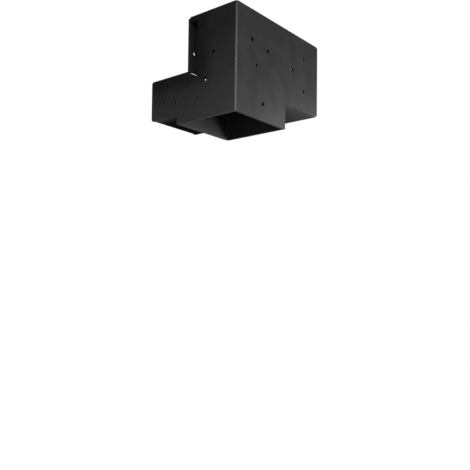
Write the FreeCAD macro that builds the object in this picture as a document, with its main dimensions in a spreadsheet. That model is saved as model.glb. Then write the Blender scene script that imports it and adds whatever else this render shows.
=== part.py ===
import FreeCAD, Part
import math
import os
import re
import Sketcher

# Corner post connector: a welded fabrication of steel plate that joins three timbers at a corner.
# It has a square collar that is open below, a box to the right (+X) that a deep beam enters, and an
# arm to the left (+Y) that a shallow beam enters. The two near faces, -Y and -X, are one plate
# folded at the near vertical edge.
# The part's frame has its origin on the axis of the collar, in the plane of the collar's lower rim,
# with +Z up. Sizes in the drawing are taken from the near corner, where the two near faces meet.

SIZES = [
    ("plate", 4.8, "thickness of the steel plate"),
    ("bend_radius", 3.0, "inside radius of the collar's far bend"),
    ("fold_inside", 1.0, "inside radius of the near fold"),
    ("fold_outside", 4.8, "outside radius of the near fold, which is dressed smooth"),
    ("corner_radius", 5.0, "radius of the free corners of the side plates"),
    ("collar_width", 158.0, "outside width of the collar, both ways"),
    ("total_height", 212.0, "from the collar's lower rim to the top of the beam box"),
    ("seat_height", 55.0, "from the rim to the underside of the seat plate"),
    ("right_arm_length", 120.0, "reach of the beam box beyond the collar"),
    ("box_width", 128.0, "outside width of the beam box"),
    ("left_arm_length", 75.0, "reach of the left arm beyond the collar"),
    ("left_arm_bottom", 18.0, "from the rim to the underside of the left arm"),
    ("left_arm_height", 83.8, "outside height of the left arm"),
    ("left_arm_width", 128.0, "outside width of the left arm"),
    ("mouth_setback", 6.0, "from an open end back to the plates between its side walls"),
    ("arm_top_gap", 1.2, "light gap between the arm's top plate and the beam box"),
    ("vent_in", 56.0, "middle of the arm's half-round vent, from the near corner"),
    ("vent_width", 20.0, "width of the vent"),
    ("slot_width", 20.0, "width of the slot between the end face and the far wall"),
    ("slot_sill", 27.0, "from the seat plate up to the foot of the slot"),
    ("slot_header", 10.0, "from the top of the box down to the head of the slot"),
    ("slot_corner", 5.0, "corner radius of the slot"),
    ("weld_leg", 5.0, "leg of each fillet weld"),
    ("weld_face_radius", 6.0, "radius of the raised face of each weld"),
    ("screw_hole", 8.0, "diameter of a structural screw hole"),
    ("small_hole", 5.5, "diameter of a small fixing hole"),
    ("pilot_hole", 4.0, "diameter of a pilot hole"),
    ("end_hole_margin", 54.0, "from the box's open end to its pair of screw holes"),
    ("end_hole_step", 42.0, "from that pair inward to the single hole"),
    ("end_hole_rise", 35.5, "height of each hole of the pair above or below the middle"),
    ("beam_hole_a_in", 47.0, "first screw hole over the collar, from the near corner"),
    ("beam_hole_a_up", 151.7, "its height above the rim"),
    ("beam_hole_b_in", 97.0, "second screw hole over the collar, from the near corner"),
    ("beam_hole_b_up", 144.3, "its height above the rim"),
    ("beam_hole_c_in", 62.0, "small hole over the collar, from the near corner"),
    ("beam_hole_c_up", 105.5, "its height above the rim"),
    ("post_hole_in", 82.5, "screw hole through the collar, from the near corner"),
    ("post_hole_up", 33.3, "its height above the rim"),
    ("face_hole_a_in", 59.0, "screw hole in the end face, from the near corner"),
    ("face_hole_a_up", 126.7, "its height above the rim"),
    ("face_hole_b_in", 80.5, "lower screw hole in the end face, from the near corner"),
    ("face_hole_b_up", 77.4, "its height above the rim"),
    ("face_hole_c_in", 63.5, "upper pilot hole in the end face, from the near corner"),
    ("face_hole_c_up", 169.0, "its height above the rim"),
    ("collar_hole_in", 103.0, "pilot hole through the collar, from the near corner"),
    ("collar_hole_up", 46.5, "its height above the rim"),
    ("arm_hole_a_out", 3.0, "small hole at the root of the left arm, beyond the collar"),
    ("arm_hole_a_up", 30.1, "its height above the arm's underside"),
    ("arm_hole_b_out", 38.0, "lower pilot hole of the left arm, beyond the collar"),
    ("arm_hole_b_up", 33.1, "its height above the arm's underside"),
    ("arm_hole_c_out", 27.5, "upper pilot hole of the left arm, beyond the collar"),
    ("arm_hole_c_up", 66.6, "its height above the arm's underside"),
    ("tail_hole_in", 14.8, "screw hole at the near end of the far wall, from the end face"),
    ("tail_hole_up", 141.9, "its height above the rim"),
]

VALUES = {name: value for name, value, note in SIZES}

# Lines that several plates share, as sums of the sizes above
RIGHT_END = "collar_width + right_arm_length"
LEFT_END = "collar_width + left_arm_length"
BOX_COVER_END = "collar_width + right_arm_length - mouth_setback"
ARM_FLOOR_LENGTH = "left_arm_length - mouth_setback"
ARM_COVER_START = "box_width + arm_top_gap"
ARM_COVER_END = "collar_width + left_arm_length - mouth_setback"
COLLAR_INSIDE = "collar_width - plate"
SEAT_TOP = "seat_height + plate"
BOX_INSIDE = "box_width - plate"
ARM_INSIDE = "left_arm_width - plate"
ARM_TOP = "left_arm_bottom + left_arm_height"
SLOT_SIDE = "box_width - plate - slot_width"
SLOT_FOOT = "seat_height + plate + slot_sill"
SLOT_HEAD = "total_height - slot_header"
BEND_OUTSIDE = "bend_radius + plate"
SEAT_CORNER = "min(bend_radius + plate; (collar_width - box_width) / 2)"
END_PAIR_IN = "collar_width + right_arm_length - end_hole_margin"
END_SINGLE_IN = "collar_width + right_arm_length - end_hole_margin - end_hole_step"
BOX_MIDDLE = "total_height / 2 + seat_height / 2"

NEAR = 1e-4

doc = FreeCAD.newDocument("corner_post_connector")


def fill_sheet():
    """Write every size into the sheet, with its name as the cell's alias and its meaning beside it."""
    sheet = doc.addObject("Spreadsheet::Sheet", "Sizes")
    for row, (name, value, note) in enumerate(SIZES, start=1):
        sheet.set("A%d" % row, str(value))
        sheet.setAlias("A%d" % row, name)
        sheet.set("B%d" % row, note)
    doc.recompute()


def amount(sum_text):
    """Value of a sum such as 'collar_width - plate', where a term may be halved as 'plate / 2'."""
    total = 0.0
    sign = 1.0
    term = 0.0
    words = sum_text.split()
    for place, word in enumerate(words):
        if word in ("+", "-"):
            total += term
            term = 0.0
            sign = 1.0 if word == "+" else -1.0
        elif word == "/":
            term /= float(words[place + 1])
        elif word in VALUES:
            term = sign * VALUES[word]
    return total + term


def cells(text):
    """The same text as an expression on the sheet, with each size's name led by the sheet's."""
    return re.sub("[a-z_]+", lambda word: ("Sizes." if word[0] in VALUES else "") + word[0], text)


def new_body(name):
    body = doc.addObject("PartDesign::Body", name)
    body.Label = name
    return body


def stand(item, along="0", across="0", up="0"):
    """Put a piece at its place, given from the near corner and the collar's rim."""
    item.setExpression("Placement.Base.x", cells(along + " - collar_width / 2"))
    item.setExpression("Placement.Base.y", cells(across + " - collar_width / 2"))
    item.setExpression("Placement.Base.z", cells(up))


def new_sketch(body, name, role):
    """A sketch on one of the body's own origin planes."""
    sketch = body.newObject("Sketcher::SketchObject", name)
    plane = [item for item in body.Origin.OriginFeatures if item.Role == role][0]
    sketch.AttachmentSupport = (plane, [""])
    sketch.MapMode = "FlatFace"
    return sketch


def hold_point(sketch, geometry, end, across, up):
    """Tie a point of the sketch to two sizes, measured from the sketch's origin."""
    for kind, axis, size in (("DistanceX", -2, across), ("DistanceY", -1, up)):
        if size == "0":
            sketch.addConstraint(Sketcher.Constraint("PointOnObject", geometry, end, axis))
        else:
            number = sketch.addConstraint(
                Sketcher.Constraint(kind, -1, 1, geometry, end, amount(size)))
            sketch.setExpression("Constraints[%d]" % number, cells(size))


def outline(body, name, role, corners):
    """A closed outline of straight lines through the given corners."""
    sketch = new_sketch(body, name, role)
    points = [FreeCAD.Vector(amount(across), amount(up), 0) for across, up in corners]
    for place, point in enumerate(points):
        sketch.addGeometry(Part.LineSegment(point, points[(place + 1) % len(points)]), False)
    for place in range(len(points)):
        following = (place + 1) % len(points)
        sketch.addConstraint(Sketcher.Constraint("Coincident", place, 2, following, 1))
    for place, (across, up) in enumerate(corners):
        hold_point(sketch, place, 1, across, up)
    return sketch


def rectangle(body, name, role, low, high):
    corners = [low, (high[0], low[1]), high, (low[0], high[1])]
    return outline(body, name, role, corners)


def pad(body, sketch, thickness, reverse=False):
    feature = body.newObject("PartDesign::Pad", sketch.Name + "_pad")
    feature.Profile = sketch
    feature.setExpression("Length", cells(thickness))
    feature.Reversed = reverse
    sketch.Visibility = False
    doc.recompute()
    return feature


def pocket(body, sketch, depth, reverse=False):
    """Cut into the solid, and make sure that the cut took material away."""
    before = body.Shape.Volume
    feature = body.newObject("PartDesign::Pocket", sketch.Name + "_cut")
    feature.Profile = sketch
    feature.setExpression("Length", cells(depth))
    feature.Reversed = reverse
    sketch.Visibility = False
    doc.recompute()
    if body.Shape.Volume >= before:
        raise RuntimeError(sketch.Name + " cuts nothing")
    return feature


def edge_names(shape, plane, spot):
    """Names of the straight edges that stand on a plane ('xy', 'xz' or 'yz') at one spot."""
    axes = tuple(plane)
    names = []
    for number, edge in enumerate(shape.Edges, start=1):
        ends = [vertex.Point for vertex in edge.Vertexes]
        at_spot = [abs(getattr(end, axis) - value) < NEAR
                   for end in ends for axis, value in zip(axes, spot)]
        if len(ends) == 2 and all(at_spot):
            names.append("Edge%d" % number)
    return names


def round_edges(body, name, plane, spots, radius):
    """Round the edges that stand at the given spots."""
    solid = body.Tip
    names = []
    for across, up in spots:
        names += edge_names(solid.Shape, plane, (amount(across), amount(up)))
    if len(names) < len(spots):
        raise RuntimeError(name + " misses an edge")
    feature = body.newObject("PartDesign::Fillet", name)
    feature.Base = (solid, names)
    feature.setExpression("Radius", cells(radius))
    doc.recompute()
    return feature


def drill(body, name, role, holes, depth, reverse=False):
    """Round holes, each given as its place on the sketch plane and its diameter."""
    sketch = new_sketch(body, name, role)
    for place, (across, up, diameter) in enumerate(holes):
        centre = FreeCAD.Vector(amount(across), amount(up), 0)
        circle = Part.Circle(centre, FreeCAD.Vector(0, 0, 1), amount(diameter) / 2)
        sketch.addGeometry(circle, False)
        hold_point(sketch, place, 3, across, up)
        number = sketch.addConstraint(
            Sketcher.Constraint("Diameter", place, amount(diameter)))
        sketch.setExpression("Constraints[%d]" % number, cells(diameter))
    return pocket(body, sketch, depth, reverse)


# Screw holes, as distance from the near corner, height above the rim, and diameter
END_HOLES = [
    (END_PAIR_IN, BOX_MIDDLE + " + end_hole_rise", "screw_hole"),
    (END_PAIR_IN, BOX_MIDDLE + " - end_hole_rise", "screw_hole"),
    (END_SINGLE_IN, BOX_MIDDLE, "screw_hole"),
]
OVER_POST_HOLES = [
    ("beam_hole_a_in", "beam_hole_a_up", "screw_hole"),
    ("beam_hole_b_in", "beam_hole_b_up", "screw_hole"),
    ("beam_hole_c_in", "beam_hole_c_up", "small_hole"),
]
END_FACE_HOLES = [
    ("face_hole_a_in", "face_hole_a_up", "screw_hole"),
    ("face_hole_b_in", "face_hole_b_up", "screw_hole"),
    ("face_hole_c_in", "face_hole_c_up", "pilot_hole"),
]
ROOT_HOLE, LOW_HOLE, HIGH_HOLE = [
    ("collar_width + arm_hole_%s_out" % hole, "left_arm_bottom + arm_hole_%s_up" % hole,
     diameter)
    for hole, diameter in (("a", "small_hole"), ("b", "pilot_hole"), ("c", "pilot_hole"))
]
POST_HOLE = ("post_hole_in", "post_hole_up", "screw_hole")
COLLAR_HOLE = ("collar_hole_in", "collar_hole_up", "pilot_hole")


def corner_wrap():
    """The near plate: both near faces, folded once, with the outlines of collar, box and arm."""
    body = new_body("corner_wrap")
    stand(body)
    plan = outline(body, "wrap_plan", "XY_Plane", [
        ("0", "0"), (RIGHT_END, "0"), (RIGHT_END, "plate"),
        ("plate", "plate"), ("plate", LEFT_END), ("0", LEFT_END)])
    pad(body, plan, "total_height")
    round_edges(body, "wrap_fold_outside", "xy", [("0", "0")], "fold_outside")
    round_edges(body, "wrap_fold_inside", "xy", [("plate", "plate")], "fold_inside")

    under_right_arm = rectangle(body, "under_right_arm", "XZ_Plane",
                                ("collar_width", "0"), (RIGHT_END, "seat_height"))
    pocket(body, under_right_arm, "plate")
    under_left_arm = rectangle(body, "under_left_arm", "YZ_Plane",
                               ("collar_width", "0"), (LEFT_END, "left_arm_bottom"))
    pocket(body, under_left_arm, "plate", reverse=True)
    above_left_arm = rectangle(body, "above_left_arm", "YZ_Plane",
                               (BOX_INSIDE, ARM_TOP), (LEFT_END, "total_height"))
    pocket(body, above_left_arm, "plate", reverse=True)
    slot = rectangle(body, "slot", "YZ_Plane", (SLOT_SIDE, SLOT_FOOT), (BOX_INSIDE, SLOT_HEAD))
    pocket(body, slot, "plate", reverse=True)
    round_edges(body, "slot_corners", "yz",
                [(SLOT_SIDE, SLOT_FOOT), (SLOT_SIDE, SLOT_HEAD), (BOX_INSIDE, SLOT_FOOT)],
                "slot_corner")
    round_edges(body, "box_corners", "xz",
                [(RIGHT_END, "seat_height"), (RIGHT_END, "total_height")], "corner_radius")
    round_edges(body, "arm_corners", "yz",
                [(LEFT_END, "left_arm_bottom"), (LEFT_END, ARM_TOP)], "corner_radius")

    right_face = OVER_POST_HOLES + END_HOLES + [POST_HOLE]
    drill(body, "right_face_holes", "XZ_Plane", right_face, "plate")
    left_face = END_FACE_HOLES + [ROOT_HOLE, LOW_HOLE, HIGH_HOLE, COLLAR_HOLE]
    drill(body, "left_face_holes", "YZ_Plane", left_face, "plate", reverse=True)
    return body


def collar_back_wrap():
    """The two far walls of the collar, one plate bent at the far corner."""
    body = new_body("collar_back_wrap")
    stand(body)
    plan = outline(body, "collar_plan", "XY_Plane", [
        (COLLAR_INSIDE, "plate"), ("collar_width", "plate"), ("collar_width", "collar_width"),
        ("plate", "collar_width"), ("plate", COLLAR_INSIDE), (COLLAR_INSIDE, COLLAR_INSIDE)])
    pad(body, plan, "seat_height")
    round_edges(body, "collar_bend_outside", "xy",
                [("collar_width", "collar_width")], BEND_OUTSIDE)
    round_edges(body, "collar_bend_inside", "xy", [(COLLAR_INSIDE, COLLAR_INSIDE)], "bend_radius")
    drill(body, "collar_hole_left", "XZ_Plane", [POST_HOLE], "collar_width")
    drill(body, "collar_hole_right", "YZ_Plane", [COLLAR_HOLE], "collar_width", reverse=True)
    return body


def seat_plate():
    """The plate that caps the collar and runs on as the floor of the beam box."""
    body = new_body("seat_plate")
    stand(body, up="seat_height")
    plan = outline(body, "seat_plan", "XY_Plane", [
        ("plate", "plate"), (RIGHT_END, "plate"), (RIGHT_END, "box_width"),
        ("collar_width", "box_width"), ("collar_width", "collar_width"),
        ("plate", "collar_width")])
    pad(body, plan, "plate")
    round_edges(body, "seat_near_corner", "xy", [("plate", "plate")], "fold_inside")
    round_edges(body, "seat_far_corner", "xy", [("collar_width", "collar_width")], SEAT_CORNER)
    return body


def box_far_wall():
    """The far side of the beam box, cut away where the shallow beam comes in from the left arm."""
    body = new_body("box_far_wall")
    stand(body, across=BOX_INSIDE)
    face = outline(body, "far_wall_face", "XZ_Plane", [
        ("0", ARM_TOP), (ARM_INSIDE, ARM_TOP), (ARM_INSIDE, SEAT_TOP),
        (RIGHT_END, SEAT_TOP), (RIGHT_END, "total_height"), ("0", "total_height")])
    pad(body, face, "plate", reverse=True)
    round_edges(body, "far_wall_corners", "xz",
                [("0", "total_height"), (RIGHT_END, "total_height")], "corner_radius")
    holes = END_HOLES + [("tail_hole_in", "tail_hole_up", "screw_hole")]
    drill(body, "far_wall_holes", "XZ_Plane", holes, "plate")
    return body


def box_top_plate():
    """The closed top of the beam box, between its two long walls."""
    body = new_body("box_top_plate")
    stand(body, up="total_height - plate")
    plan = rectangle(body, "top_plan", "XY_Plane", ("plate", "plate"), (BOX_COVER_END, BOX_INSIDE))
    pad(body, plan, "plate")
    round_edges(body, "top_near_corner", "xy", [("plate", "plate")], "fold_inside")
    return body


def arm_far_wall():
    """The far side of the left arm, stepped over the corner of the seat plate."""
    body = new_body("arm_far_wall")
    stand(body, along=ARM_INSIDE)
    face = outline(body, "arm_wall_face", "YZ_Plane", [
        ("box_width", SEAT_TOP), ("collar_width", SEAT_TOP),
        ("collar_width", "left_arm_bottom"), (LEFT_END, "left_arm_bottom"),
        (LEFT_END, ARM_TOP), ("box_width", ARM_TOP)])
    pad(body, face, "plate")
    round_edges(body, "arm_wall_corners", "yz",
                [(LEFT_END, "left_arm_bottom"), (LEFT_END, ARM_TOP)], "corner_radius")
    drill(body, "arm_wall_holes", "YZ_Plane", [LOW_HOLE, HIGH_HOLE], "plate", reverse=True)
    return body


def arm_bottom_plate():
    """The floor of the left arm, a plain rectangular plate between its two walls."""
    floor = doc.addObject("Part::Box", "arm_bottom_plate")
    floor.Label = "arm_bottom_plate"
    floor.setExpression("Length", cells(ARM_INSIDE + " - plate"))
    floor.setExpression("Width", cells(ARM_FLOOR_LENGTH))
    floor.setExpression("Height", cells("plate"))
    stand(floor, "plate", "collar_width", "left_arm_bottom")
    return floor


def arm_top_plate():
    """The cover of the left arm, with a half-round vent in the edge beside the beam box."""
    body = new_body("arm_top_plate")
    stand(body, up=ARM_TOP + " - plate")
    plan = rectangle(body, "cover_plan", "XY_Plane",
                     ("plate", ARM_COVER_START), (ARM_INSIDE, ARM_COVER_END))
    pad(body, plan, "plate")
    drill(body, "vent", "XY_Plane", [("vent_in", ARM_COVER_START, "vent_width")], "plate", reverse=True)
    return body


def weld_bead(name, corner, legs, length):
    """A fillet weld with a raised face. Its two legs lie along the plates that it joins."""
    body = new_body(name)
    stand(body, *corner)
    first, second = (FreeCAD.Vector(*leg) for leg in legs)
    run = first.cross(second)
    turn = FreeCAD.Matrix(
        first.x, second.x, run.x, 0,
        first.y, second.y, run.y, 0,
        first.z, second.z, run.z, 0,
        0, 0, 0, 1)
    body.Placement = FreeCAD.Placement(body.Placement.Base, FreeCAD.Rotation(turn))

    leg = VALUES["weld_leg"]
    radius = VALUES["weld_face_radius"]
    centre = (leg - math.sqrt(2 * radius ** 2 - leg ** 2)) / 2
    crown = centre + radius / math.sqrt(2)
    toe_one = FreeCAD.Vector(leg, 0, 0)
    toe_two = FreeCAD.Vector(0, leg, 0)
    root = FreeCAD.Vector(0, 0, 0)
    sketch = new_sketch(body, name + "_section", "XY_Plane")
    sketch.addGeometry(Part.LineSegment(root, toe_one), False)
    sketch.addGeometry(Part.Arc(toe_one, FreeCAD.Vector(crown, crown, 0), toe_two), False)
    sketch.addGeometry(Part.LineSegment(toe_two, root), False)
    for place in range(3):
        following = (place + 1) % 3
        sketch.addConstraint(Sketcher.Constraint("Coincident", place, 2, following, 1))
    hold_point(sketch, 0, 1, "0", "0")
    hold_point(sketch, 1, 1, "weld_leg", "0")
    hold_point(sketch, 1, 2, "0", "weld_leg")
    number = sketch.addConstraint(Sketcher.Constraint("Radius", 1, radius))
    sketch.setExpression("Constraints[%d]" % number, cells("weld_face_radius"))
    pad(body, sketch, length)
    return body


ALONG = (1, 0, 0)
ACROSS = (0, 1, 0)
UP = (0, 0, 1)
DOWN = (0, 0, -1)


def weld_beads():
    """The fillet welds in the outside corners where plates meet."""
    return [
        weld_bead("weld_under_right_arm", ("collar_width", "plate", "seat_height"),
                  (ALONG, DOWN), BOX_INSIDE),
        weld_bead("weld_under_left_arm", ("plate", "collar_width", "left_arm_bottom"),
                  (DOWN, ACROSS), ARM_INSIDE),
        weld_bead("weld_arm_to_collar", ("left_arm_width", "collar_width", "left_arm_bottom"),
                  (ALONG, ACROSS), "seat_height - left_arm_bottom"),
        weld_bead("weld_arm_to_seat", ("left_arm_width", "box_width + weld_leg", SEAT_TOP),
                  (UP, ALONG), "collar_width - box_width - weld_leg"),
        weld_bead("weld_box_to_seat", ("left_arm_width + weld_leg", "box_width", SEAT_TOP),
                  (ACROSS, UP), "collar_width - left_arm_width - weld_leg"),
        weld_bead("weld_box_to_arm", ("left_arm_width", "box_width", SEAT_TOP + " + weld_leg"),
                  (ALONG, ACROSS), ARM_TOP + " - seat_height - plate - weld_leg"),
    ]


def check(pieces):
    """Stop before anything is written if an object failed or a shape isn't one valid solid."""
    for item in doc.Objects:
        if "Invalid" in item.State or "Error" in item.State:
            raise RuntimeError("%s: %s" % (item.Name, item.State))
    for piece in pieces:
        shape = piece.Shape
        if shape.isNull() or not shape.isValid() or len(shape.Solids) != 1:
            raise RuntimeError(piece.Label + " isn't one valid solid")


def write(pieces):
    os.makedirs("parts", exist_ok=True)
    for piece in pieces:
        piece.Shape.exportStep(os.path.join("parts", piece.Label + ".step"))
        print("%-24s %10.1f mm3" % (piece.Label, piece.Shape.Volume))


fill_sheet()
plates = [
    corner_wrap(),
    collar_back_wrap(),
    seat_plate(),
    box_far_wall(),
    box_top_plate(),
    arm_far_wall(),
    arm_bottom_plate(),
    arm_top_plate(),
]
connector = plates + weld_beads()
doc.recompute()
check(connector)
write(connector)
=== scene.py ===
# %% [markdown]
# # A corner post connector in black powder coat
#
# The real object is a fabrication of 4.8 mm steel plate: laser-cut, folded, welded together and
# powder-coated satin black. It ties a timber frame together at one of its corners. The construction
# is already solved, so this lesson loads it as a fixed frame and gives each plate and each weld the
# surface, the softened edges and the light that the real one has.

# %% Load the frame
import math

import bpy
from mathutils import Matrix, Vector
from mathutils.bvhtree import BVHTree


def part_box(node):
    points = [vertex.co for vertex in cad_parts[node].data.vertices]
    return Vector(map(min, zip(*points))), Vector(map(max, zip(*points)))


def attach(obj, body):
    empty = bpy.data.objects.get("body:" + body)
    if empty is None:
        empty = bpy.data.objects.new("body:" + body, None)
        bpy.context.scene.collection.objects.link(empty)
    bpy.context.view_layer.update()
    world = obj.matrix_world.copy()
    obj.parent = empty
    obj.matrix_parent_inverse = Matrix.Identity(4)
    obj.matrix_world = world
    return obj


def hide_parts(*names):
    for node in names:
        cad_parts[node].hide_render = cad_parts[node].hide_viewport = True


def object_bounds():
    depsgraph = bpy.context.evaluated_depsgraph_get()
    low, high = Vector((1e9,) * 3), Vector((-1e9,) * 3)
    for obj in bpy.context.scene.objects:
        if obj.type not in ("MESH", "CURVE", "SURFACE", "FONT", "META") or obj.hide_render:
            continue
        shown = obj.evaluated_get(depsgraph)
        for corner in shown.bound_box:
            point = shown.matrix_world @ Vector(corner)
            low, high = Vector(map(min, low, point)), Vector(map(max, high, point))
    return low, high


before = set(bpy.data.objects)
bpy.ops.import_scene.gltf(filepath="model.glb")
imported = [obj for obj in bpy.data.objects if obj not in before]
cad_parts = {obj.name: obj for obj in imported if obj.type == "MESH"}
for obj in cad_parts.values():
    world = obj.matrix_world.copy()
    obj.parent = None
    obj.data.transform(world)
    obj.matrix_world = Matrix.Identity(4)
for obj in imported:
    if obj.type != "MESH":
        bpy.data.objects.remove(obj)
cad_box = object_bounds()
MM = 0.001
print("plates and welds:", sorted(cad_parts))

# %% [markdown]
# ## Small tools
#
# Colours are written as the hex values that a paint chart gives. Blender works in linear light, so
# one function turns them. A second function adds a shader node with its settings and its links.

# %% Colour and node tools
def linear(hex_code):
    """Turn a colour such as '#1d1d1f' into linear red, green, blue and alpha."""
    parts = [int(hex_code[place:place + 2], 16) / 255 for place in (1, 3, 5)]
    parts = [part / 12.92 if part <= 0.04045 else ((part + 0.055) / 1.055) ** 2.4
             for part in parts]
    return parts + [1.0]


def add_node(tree, kind, settings=None, inputs=None):
    """Add a node, set its properties, and fill or link its inputs."""
    node = tree.nodes.new(kind)
    for name, value in (settings or {}).items():
        setattr(node, name, value)
    for name, value in (inputs or {}).items():
        if isinstance(value, bpy.types.NodeSocket):
            tree.links.new(value, node.inputs[name])
        else:
            node.inputs[name].default_value = value
    return node


def new_material(name):
    """A material with an empty node tree and its output node."""
    material = bpy.data.materials.new(name)
    material.use_nodes = True
    material.node_tree.nodes.clear()
    output = add_node(material.node_tree, "ShaderNodeOutputMaterial")
    return material, material.node_tree, output


# %% [markdown]
# ## The powder coat
#
# Powder coat is a polyester film, sprayed on as dry powder and melted in an oven. It stays slightly
# uneven, the so-called orange peel, with waves a few millimetres long, and its satin grade scatters
# light with a fine grain. It is a plastic over metal, so the shader isn't metallic and keeps the
# index of refraction of 1.5 that Blender starts with. The matting agent in the film weakens its
# reflection, hence a specular level of half the usual. The film is thinner on sharp edges, and the
# edges are painted a little greyer than the faces as a painted highlight.

# %% The recipe of the coat
COAT_SPECULAR = 0.25
# Cloudy tone, where the spray passed over once more
CLOUD_MM = 38.0
# Orange peel, at its real wavelength
PEEL_MM = 3.2
PEEL_DEPTH_MM = 0.06
# The real grain is under a tenth of a millimetre, so it is drawn coarser to show at all
GRAIN_MM = 0.9
GRAIN_DEPTH_MM = 0.02
# How much of the unevenness in gloss is grain, where the rest is clouds
GRAIN_SHARE = 0.35


def powder_coat(name, tones, roughness_range, specular=COAT_SPECULAR):
    """Satin black polyester powder: cloudy tone, orange peel and fine grain."""
    material, tree, output = new_material(name)
    place = add_node(tree, "ShaderNodeTexCoord").outputs["Object"]
    clouds = add_node(tree, "ShaderNodeTexNoise", inputs={
        "Vector": place, "Scale": 1 / (CLOUD_MM * MM), "Detail": 3.0, "Roughness": 0.55})
    # A colour mix has its two colours at inputs 6 and 7, and its result at output 2
    tone = add_node(tree, "ShaderNodeMix", {"data_type": "RGBA"}, {
        "Factor": clouds.outputs["Fac"], 6: linear(tones[0]), 7: linear(tones[1])})
    grain = add_node(tree, "ShaderNodeTexNoise", inputs={
        "Vector": place, "Scale": 1 / (GRAIN_MM * MM), "Detail": 2.0, "Roughness": 0.6})
    grain_part = add_node(tree, "ShaderNodeMath", {"operation": "MULTIPLY"}, {
        0: grain.outputs["Fac"], 1: GRAIN_SHARE})
    unevenness = add_node(tree, "ShaderNodeMath", {"operation": "MULTIPLY_ADD"}, {
        0: clouds.outputs["Fac"], 1: 1 - GRAIN_SHARE, 2: grain_part.outputs["Value"]})
    roughness = add_node(tree, "ShaderNodeMapRange", inputs={
        "Value": unevenness.outputs["Value"], "From Min": 0.3, "From Max": 0.7,
        "To Min": roughness_range[0], "To Max": roughness_range[1]})
    peel = add_node(tree, "ShaderNodeTexNoise", inputs={
        "Vector": place, "Scale": 1 / (PEEL_MM * MM), "Detail": 1.0})
    waves = add_node(tree, "ShaderNodeBump", inputs={
        "Height": peel.outputs["Fac"], "Distance": PEEL_DEPTH_MM * MM, "Strength": 0.6})
    speckle = add_node(tree, "ShaderNodeBump", inputs={
        "Height": grain.outputs["Fac"], "Distance": GRAIN_DEPTH_MM * MM, "Strength": 0.5,
        "Normal": waves.outputs["Normal"]})
    coat = add_node(tree, "ShaderNodeBsdfPrincipled", inputs={
        "Base Color": tone.outputs[2], "Roughness": roughness.outputs["Result"],
        "Specular IOR Level": specular, "Normal": speckle.outputs["Normal"]})
    tree.links.new(coat.outputs["BSDF"], output.inputs["Surface"])
    return material


# %% The coat on faces, edges, the fold and the walls of holes
FULL_FILM = ("#1b1b1b", "#2a2a2a")
THIN_FILM_AND_HIGHLIGHT = ("#2b2b2b", "#373737")
PAINTED_HOLE_SHADE = ("#070707", "#0c0c0c")
PAINTED_HOLE_SHADE_SPECULAR = 0.06

# Satin black polyester powder in a full film: deep, soft-edged reflections
face_coat = powder_coat("satin_black_powder_coat", FULL_FILM, (0.42, 0.56))
# The same film drawn thin over a sharp edge, smoother, and painted a little greyer as a highlight
edge_coat_and_highlight = powder_coat("thin_coat_and_painted_highlight_on_edges", THIN_FILM_AND_HIGHLIGHT, (0.36, 0.46))
# The same film on the near fold, smoother and painted greyer: a painted highlight that helps the
# lamp draw one thin line of light
fold_highlight_coat = powder_coat("smooth_coat_and_painted_highlight_on_the_fold", THIN_FILM_AND_HIGHLIGHT, (0.24, 0.32))
# Painted shade on the wall of a hole: nearly black and without gloss
hole_shade_coat = powder_coat(
    "painted_shade_in_the_holes", PAINTED_HOLE_SHADE, (0.64, 0.76), specular=PAINTED_HOLE_SHADE_SPECULAR)
print("coats:", [coat.name for coat in (face_coat, edge_coat_and_highlight, fold_highlight_coat, hole_shade_coat)])

# %% [markdown]
# ## The plates
#
# The plates come from the frame at their true size, but their edges are mathematically sharp, and
# no coated edge is. Each plate is copied, its loose triangles are merged into whole faces, and a
# narrow bevel softens every edge, holes too. The bevel gets the edge material: the film is thin
# there, and the edge is painted a little greyer as a highlight. Weighted normals keep the wide
# faces flat between their soft edges.

# %% Tools for working on one piece
def only(piece):
    """Select one piece alone and make it the active one."""
    bpy.ops.object.select_all(action="DESELECT")
    piece.select_set(True)
    bpy.context.view_layer.objects.active = piece


def apply_all(piece):
    """Apply the piece's modifiers in their order."""
    only(piece)
    for modifier in list(piece.modifiers):
        bpy.ops.object.modifier_apply(modifier=modifier.name)


def finish_piece(piece, node):
    """Stand the piece in for its node, on the frame's only body."""
    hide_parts(node)
    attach(piece, "root")


# %% Soften every plate
EDGE_SOFTNESS = 0.45 * MM
SHARP_FROM = math.radians(35)
FLAT_WITHIN = math.radians(0.5)
MERGE_WITHIN = 0.002 * MM
FACE_SLOT, EDGE_SLOT = 0, 1


def coated_plate(node):
    """A copy of a plate with merged faces and softened edges, thinly coated and painted greyer as a
    highlight.
    """
    piece = bpy.data.objects.new(node + "_coated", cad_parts[node].data.copy())
    bpy.context.scene.collection.objects.link(piece)
    piece.data.materials.clear()
    piece.data.materials.append(face_coat)
    piece.data.materials.append(edge_coat_and_highlight)
    only(piece)
    bpy.ops.object.mode_set(mode="EDIT")
    bpy.ops.mesh.select_all(action="SELECT")
    bpy.ops.mesh.remove_doubles(threshold=MERGE_WITHIN)
    bpy.ops.mesh.dissolve_limited(angle_limit=FLAT_WITHIN)
    bpy.ops.object.mode_set(mode="OBJECT")
    bevel = piece.modifiers.new("soft_edges", "BEVEL")
    bevel.width = EDGE_SOFTNESS
    bevel.segments = 2
    bevel.limit_method = "ANGLE"
    bevel.angle_limit = SHARP_FROM
    # The bevels take the greyer coat: thin film and a painted highlight
    bevel.material = EDGE_SLOT
    bevel.use_clamp_overlap = True
    bpy.ops.object.shade_smooth_by_angle(angle=SHARP_FROM)
    flat = piece.modifiers.new("flat_faces", "WEIGHTED_NORMAL")
    flat.keep_sharp = True
    apply_all(piece)
    finish_piece(piece, node)
    print(node, "has", len(piece.data.polygons), "faces")
    return piece


plates = {node: coated_plate(node) for node in (
    "corner_wrap", "collar_back_wrap", "seat_plate", "box_far_wall", "box_top_plate",
    "arm_far_wall", "arm_bottom_plate", "arm_top_plate")}

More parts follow.
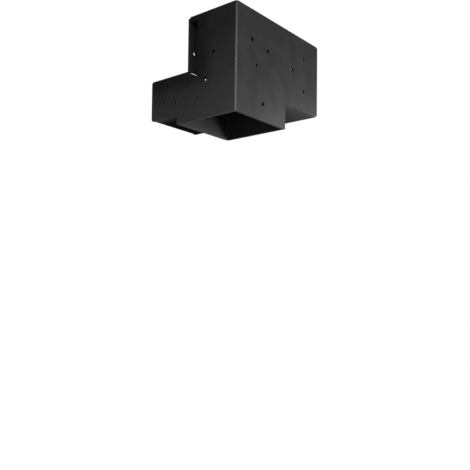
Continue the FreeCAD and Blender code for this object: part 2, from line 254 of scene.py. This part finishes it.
# %% [markdown]
# ## The fold
#
# The outside of the near fold gets a smoother coat than the rest, painted greyer as a highlight, so
# that a lamp draws one thin line of light on it from top to bottom. The faces of the fold are those
# near the corner that look neither along X nor along Y.

# %% Smooth coat and painted highlight on the fold
FOLD_REACH = 5.0 * MM
TURNED_FROM = 0.03
UPRIGHT_WITHIN = 0.1


def paint_fold_highlight(piece):
    """Give the smooth coat with its painted highlight to the upright faces round the near corner.
    """
    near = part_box("corner_wrap")[0]
    piece.data.materials.append(fold_highlight_coat)
    fold_slot = len(piece.data.materials) - 1
    count = 0
    for face in piece.data.polygons:
        reach, normal = face.center - near, face.normal
        close = max(reach.x, reach.y) < FOLD_REACH
        turned = max(normal.x, normal.y) < -TURNED_FROM and abs(normal.z) < UPRIGHT_WITHIN
        if close and turned:
            # These faces carry the painted highlight of the fold
            face.material_index = fold_slot
            count += 1
    print("faces on the fold:", count)


paint_fold_highlight(plates["corner_wrap"])

# %% [markdown]
# ## The holes
#
# The wall of a hole is painted nearly black and dull, as painted shade for the shade that falls in
# it. A face belongs to such a wall when it looks straight at the other side of its own hole. The
# rim keeps the full coat, without the greyer edge highlight.

# %% Painted shade in the holes
WIDEST_HOLE = 9.0 * MM
OFF_THE_FACE = 0.1 * MM
OPPOSITE_FROM = 0.9


def paint_hole_shade(piece):
    """Paint shade on the walls of the holes with the dark dull coat, and give the full coat to
    their rims.
    """
    mesh = piece.data
    mesh.materials.append(hole_shade_coat)
    shade_slot = len(mesh.materials) - 1
    shape = BVHTree.FromPolygons(
        [point.co for point in mesh.vertices], [face.vertices for face in mesh.polygons])
    rim = set()
    for face in mesh.polygons:
        start = face.center + face.normal * OFF_THE_FACE
        place, facing = shape.ray_cast(start, face.normal, WIDEST_HOLE)[:2]
        if place is not None and facing.dot(face.normal) < -OPPOSITE_FROM:
            # The wall of the hole gets the painted shade
            face.material_index = shade_slot
            rim.update(face.vertices)
    # The rims keep the full coat and lose the greyer painted edge highlight
    for face in mesh.polygons:
        if face.material_index == EDGE_SLOT and rim.intersection(face.vertices):
            face.material_index = FACE_SLOT
    print(piece.name, "has", len(rim), "points round its holes")


for plate in plates.values():
    paint_hole_shade(plate)

# %% [markdown]
# ## The welds
#
# A fillet weld laid by hand is a row of overlapping puddles, each frozen a moment after the last,
# so it shows crescent ripples. One puddle is modelled as a flattened ball and repeated along the
# joint. A voxel remesh melts the row into one skin, and two cuts trim it to the faces of the two
# plates that it joins.

# %% Lay one rippled bead
WELD_LEG = 5.0 * MM
PUDDLE_STEP = 2.3 * MM
PUDDLE_HALF_LENGTH = 2.9 * MM
MELT_GRAIN = 0.4 * MM
RIPPLE_FROM = math.radians(50)


def lay_weld(node, first, second, root):
    """A rippled bead in the corner at root, with its legs along two directions."""
    first, second, root = Vector(first), Vector(second), Vector(root)
    run = first.cross(second)
    low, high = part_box(node)
    length = abs((high - low).dot(run))
    count = int((length - 2 * PUDDLE_HALF_LENGTH) / PUDDLE_STEP) + 1
    step = (length - 2 * PUDDLE_HALF_LENGTH) / max(count - 1, 1)

    bpy.ops.object.select_all(action="DESELECT")
    bpy.ops.mesh.primitive_uv_sphere_add(segments=24, ring_count=16, radius=WELD_LEG)
    piece = bpy.context.object
    piece.name = node + "_bead"
    bpy.ops.object.mode_set(mode="EDIT")
    bpy.ops.mesh.select_all(action="SELECT")
    bpy.ops.transform.resize(value=(1, 1, PUDDLE_HALF_LENGTH / WELD_LEG))
    bpy.ops.transform.translate(value=(0, 0, PUDDLE_HALF_LENGTH))
    bpy.ops.object.mode_set(mode="OBJECT")
    row = piece.modifiers.new("row_of_puddles", "ARRAY")
    row.count = count
    row.use_relative_offset = False
    row.use_constant_offset = True
    row.constant_offset_displace = (0, 0, step)
    melt = piece.modifiers.new("melted_together", "REMESH")
    melt.mode = "VOXEL"
    melt.voxel_size = MELT_GRAIN
    melt.use_smooth_shade = True
    apply_all(piece)

    bpy.ops.object.mode_set(mode="EDIT")
    for normal in ((1, 0, 0), (0, 1, 0)):
        bpy.ops.mesh.select_all(action="SELECT")
        bpy.ops.mesh.bisect(plane_co=(0, 0, 0), plane_no=normal, use_fill=True, clear_inner=True)
    bpy.ops.mesh.select_all(action="SELECT")
    bpy.ops.mesh.normals_make_consistent(inside=False)
    bpy.ops.object.mode_set(mode="OBJECT")

    turn = Matrix((first, second, run)).transposed().to_4x4()
    piece.matrix_world = Matrix.Translation(root) @ turn
    bpy.ops.object.transform_apply(location=True, rotation=True, scale=True)
    piece.data.materials.clear()
    piece.data.materials.append(face_coat)
    only(piece)
    bpy.ops.object.shade_smooth_by_angle(angle=RIPPLE_FROM)
    finish_piece(piece, node)
    print(node, "has", count, "puddles")


# %% Lay the six welds
ALONG, ACROSS, UP, DOWN = (1, 0, 0), (0, 1, 0), (0, 0, 1), (0, 0, -1)


def corner(node, x_side, y_side, z_side):
    """A corner of a node's box, by taking its low (0) or high (1) side along each axis."""
    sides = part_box(node)
    return (sides[x_side].x, sides[y_side].y, sides[z_side].z)


lay_weld("weld_under_right_arm", ALONG, DOWN, corner("weld_under_right_arm", 0, 0, 1))
lay_weld("weld_under_left_arm", DOWN, ACROSS, corner("weld_under_left_arm", 0, 0, 1))
lay_weld("weld_arm_to_collar", ALONG, ACROSS, corner("weld_arm_to_collar", 0, 0, 0))
lay_weld("weld_arm_to_seat", UP, ALONG, corner("weld_arm_to_seat", 0, 0, 0))
lay_weld("weld_box_to_seat", ACROSS, UP, corner("weld_box_to_seat", 0, 0, 0))
lay_weld("weld_box_to_arm", ALONG, ACROSS, corner("weld_box_to_arm", 0, 0, 0))

# %% [markdown]
# ## Floor and background
#
# The connector stands on a plain pale floor. In use it is overhead and looked at from below, so the
# floor is one-sided: from above it is a floor that keeps the shadow, and from below it is clear.
# Everything beyond it is white. The camera and the reflections see the floor lifted by a constant
# glow, which lights nothing, so that it stays pale far from the lamps.

# %% The pale floor
FLOOR_COLOUR = "#f2f2f0"
FLOOR_GLOW = 0.5
FLOOR_SIDE = 12.0
FLOOR_GAP = 0.02 * MM


def seen_rays(tree):
    """1 for what the camera sees, straight or in a reflection, and 0 for what only sends light."""
    rays = add_node(tree, "ShaderNodeLightPath")
    direct = add_node(tree, "ShaderNodeMath", {"operation": "MAXIMUM"}, {
        0: rays.outputs["Is Camera Ray"], 1: rays.outputs["Is Transmission Ray"]})
    seen = add_node(tree, "ShaderNodeMath", {"operation": "MAXIMUM"}, {
        0: direct.outputs["Value"], 1: rays.outputs["Is Glossy Ray"]})
    return seen.outputs["Value"]


def one_sided_floor():
    """A pale floor just under the connector, clear from below."""
    bpy.ops.object.select_all(action="DESELECT")
    bpy.ops.mesh.primitive_plane_add(size=FLOOR_SIDE, location=(0, 0, cad_box[0].z - FLOOR_GAP))
    floor = bpy.context.object
    floor.name = "floor"
    # Matt off-white paint: an even tone with no reflection
    material, tree, output = new_material("pale_floor")
    face = add_node(tree, "ShaderNodeNewGeometry")
    pale = add_node(tree, "ShaderNodeBsdfDiffuse", inputs={"Color": linear(FLOOR_COLOUR)})
    strength = add_node(tree, "ShaderNodeMath", {"operation": "MULTIPLY"}, {
        0: seen_rays(tree), 1: FLOOR_GLOW})
    glow = add_node(tree, "ShaderNodeEmission", inputs={
        "Color": linear(FLOOR_COLOUR), "Strength": strength.outputs["Value"]})
    lifted = add_node(tree, "ShaderNodeAddShader", inputs={
        0: pale.outputs["BSDF"], 1: glow.outputs["Emission"]})
    clear = add_node(tree, "ShaderNodeBsdfTransparent")
    sides = add_node(tree, "ShaderNodeMixShader", inputs={
        0: face.outputs["Backfacing"], 1: lifted.outputs["Shader"], 2: clear.outputs["BSDF"]})
    tree.links.new(sides.outputs["Shader"], output.inputs["Surface"])
    floor.data.materials.append(material)
    floor.visible_diffuse = False
    floor.visible_shadow = False
    print("floor at", round(floor.location.z / MM, 2), "mm")


one_sided_floor()

# %% The white surroundings
ROOM_LIGHT = 0.05
world = bpy.data.worlds.new("white_studio")
bpy.context.scene.world = world
world.use_nodes = True
tree = world.node_tree
tree.nodes.clear()
level = add_node(tree, "ShaderNodeMapRange", inputs={
    "Value": seen_rays(tree), "To Min": ROOM_LIGHT, "To Max": 1.0})
sky = add_node(tree, "ShaderNodeBackground", inputs={
    "Color": (1, 1, 1, 1), "Strength": level.outputs["Result"]})
add_node(tree, "ShaderNodeOutputWorld", inputs={"Surface": sky.outputs["Background"]})
print("room light:", ROOM_LIGHT)

# %% [markdown]
# ## Light
#
# Satin black shows light mostly by reflection, so what matters is what each face looks at. The
# right face is lit from low on the right, as by bright ground. A far narrow lamp in front draws the
# line of light down the fold and reaches through the slot. Three small lamps near the lower corners
# make the soft glow there. One lamp overhead and one behind light the floor, the top and the far
# side.

# %% Soft lamps
# Name, place and aim in metres, side of the square in metres, power in watts
LAMPS = (
    ("lamp_low_right", (0.45, -0.70, -0.25), (0.06, -0.08, 0.12), 0.24, 5.6),
    ("lamp_far_front", (-2.24, -1.96, 1.14), (-0.08, -0.08, 0.10), 0.40, 44.0),
    ("glow_right_corner", (0.26, -0.17, -0.02), (0.195, -0.079, 0.065), 0.05, 0.58),
    ("glow_collar_corner", (0.13, -0.16, -0.03), (0.079, -0.079, 0.012), 0.05, 0.28),
    ("glow_near_corner", (-0.17, -0.15, -0.05), (-0.08, -0.06, 0.05), 0.08, 0.18),
    ("lamp_overhead", (0.25, 0.35, 2.4), (0.03, 0.01, 0.10), 1.2, 8.0),
    ("lamp_back", (1.0, 1.5, 1.0), (0.05, 0.05, 0.10), 0.8, 18.0),
)


def soft_lamp(name, place, aim, side, power):
    """A square area lamp that shines from its place towards its aim."""
    bpy.ops.object.select_all(action="DESELECT")
    bpy.ops.object.light_add(type="AREA", location=place)
    lamp = bpy.context.object
    lamp.name = name
    lamp.data.shape = "SQUARE"
    lamp.data.size = side
    lamp.data.energy = power
    direction = Vector(aim) - Vector(place)
    lamp.rotation_euler = direction.to_track_quat("-Z", "Y").to_euler()
    lamp.visible_camera = False


for row in LAMPS:
    soft_lamp(*row)
print("lamps:", len(LAMPS))

# %% [markdown]
# Black metal is photographed between black boards, which keep white walls out of its reflections.
# Two boards stand off the left face and one beyond the right end, and two lie on the floor behind,
# where the undersides look. None is seen itself, and none casts a shadow.

# %% Black boards
# Name, place and side in metres, turn about X, Y and Z in degrees
BOARDS = (
    ("board_left", (-0.34, 0.38, 0.68), 1.0, (90, 20, 90)),
    ("board_right", (0.86, -0.50, 0.62), 1.1, (90, 0, 0)),
    ("board_near", (-0.11, 0.265, 0.34), 0.52, (0, 90, 0)),
    ("board_below_right", (0.38, 0.15, 0.002), 0.42, (0, 0, 0)),
    ("board_below_left", (0.085, 0.235, 0.002), 0.27, (0, 0, 0)),
)

# Black felt: its pile swallows nearly all light and has no gloss
FELT_COLOUR = "#080808"
black_felt, tree, output = new_material("black_felt")
felt = add_node(tree, "ShaderNodeBsdfDiffuse", inputs={"Color": linear(FELT_COLOUR)})
tree.links.new(felt.outputs["BSDF"], output.inputs["Surface"])


def black_board(name, place, side, turn):
    """A square of felt that only reflections see."""
    turn = [math.radians(angle) for angle in turn]
    bpy.ops.object.select_all(action="DESELECT")
    bpy.ops.mesh.primitive_plane_add(size=side, location=place, rotation=turn)
    board = bpy.context.object
    board.name = name
    board.data.materials.append(black_felt)
    board.visible_camera = False
    board.visible_diffuse = False
    board.visible_shadow = False


for row in BOARDS:
    black_board(*row)
print("boards:", len(BOARDS))

# %% [markdown]
# ## Camera
#
# The camera stands low, off the near corner and nearly level, with the connector above it. Its
# place, turn and focal length come from fitting the connector's corners, so the perspective is the
# same. A small shift moves the frame up and to the left, because the picture is cropped off centre.

# %% The camera
# Place in metres, angles in degrees, focal length and shift in pixels of the picture
CAMERA_PLACE = (-0.96553, -0.83818, -0.36591)
CAMERA_YAW = 37.7292
CAMERA_PITCH = 2.3256
CAMERA_ROLL = 0.5568
FOCAL_PIXELS = 628.13
FRAME_PIXELS = 470
SHIFT_PIXELS = (-30.0, 45.0)
SENSOR_MM = 36.0
NEAREST, FARTHEST = 0.01, 60.0


def aim_camera():
    """The camera that sees the corners of the connector where the picture has them."""
    bpy.ops.object.select_all(action="DESELECT")
    bpy.ops.object.camera_add(location=CAMERA_PLACE)
    camera = bpy.context.object
    yaw, pitch, roll = (math.radians(angle) for angle in (CAMERA_YAW, CAMERA_PITCH, CAMERA_ROLL))
    forward = Vector((math.cos(pitch) * math.cos(yaw), math.cos(pitch) * math.sin(yaw),
                      math.sin(pitch)))
    level = Vector((math.sin(yaw), -math.cos(yaw), 0.0))
    upward = level.cross(forward)
    right = math.cos(roll) * level + math.sin(roll) * upward
    top = -math.sin(roll) * level + math.cos(roll) * upward
    camera.rotation_euler = Matrix((right, top, -forward)).transposed().to_euler()
    camera.data.sensor_width = SENSOR_MM
    camera.data.lens = FOCAL_PIXELS / FRAME_PIXELS * SENSOR_MM
    camera.data.shift_x = SHIFT_PIXELS[0] / FRAME_PIXELS
    camera.data.shift_y = SHIFT_PIXELS[1] / FRAME_PIXELS
    camera.data.clip_start = NEAREST
    camera.data.clip_end = FARTHEST
    bpy.context.scene.camera = camera
    print("lens:", round(camera.data.lens, 2), "mm")


aim_camera()
bpy.context.scene.view_settings.view_transform = "Standard"
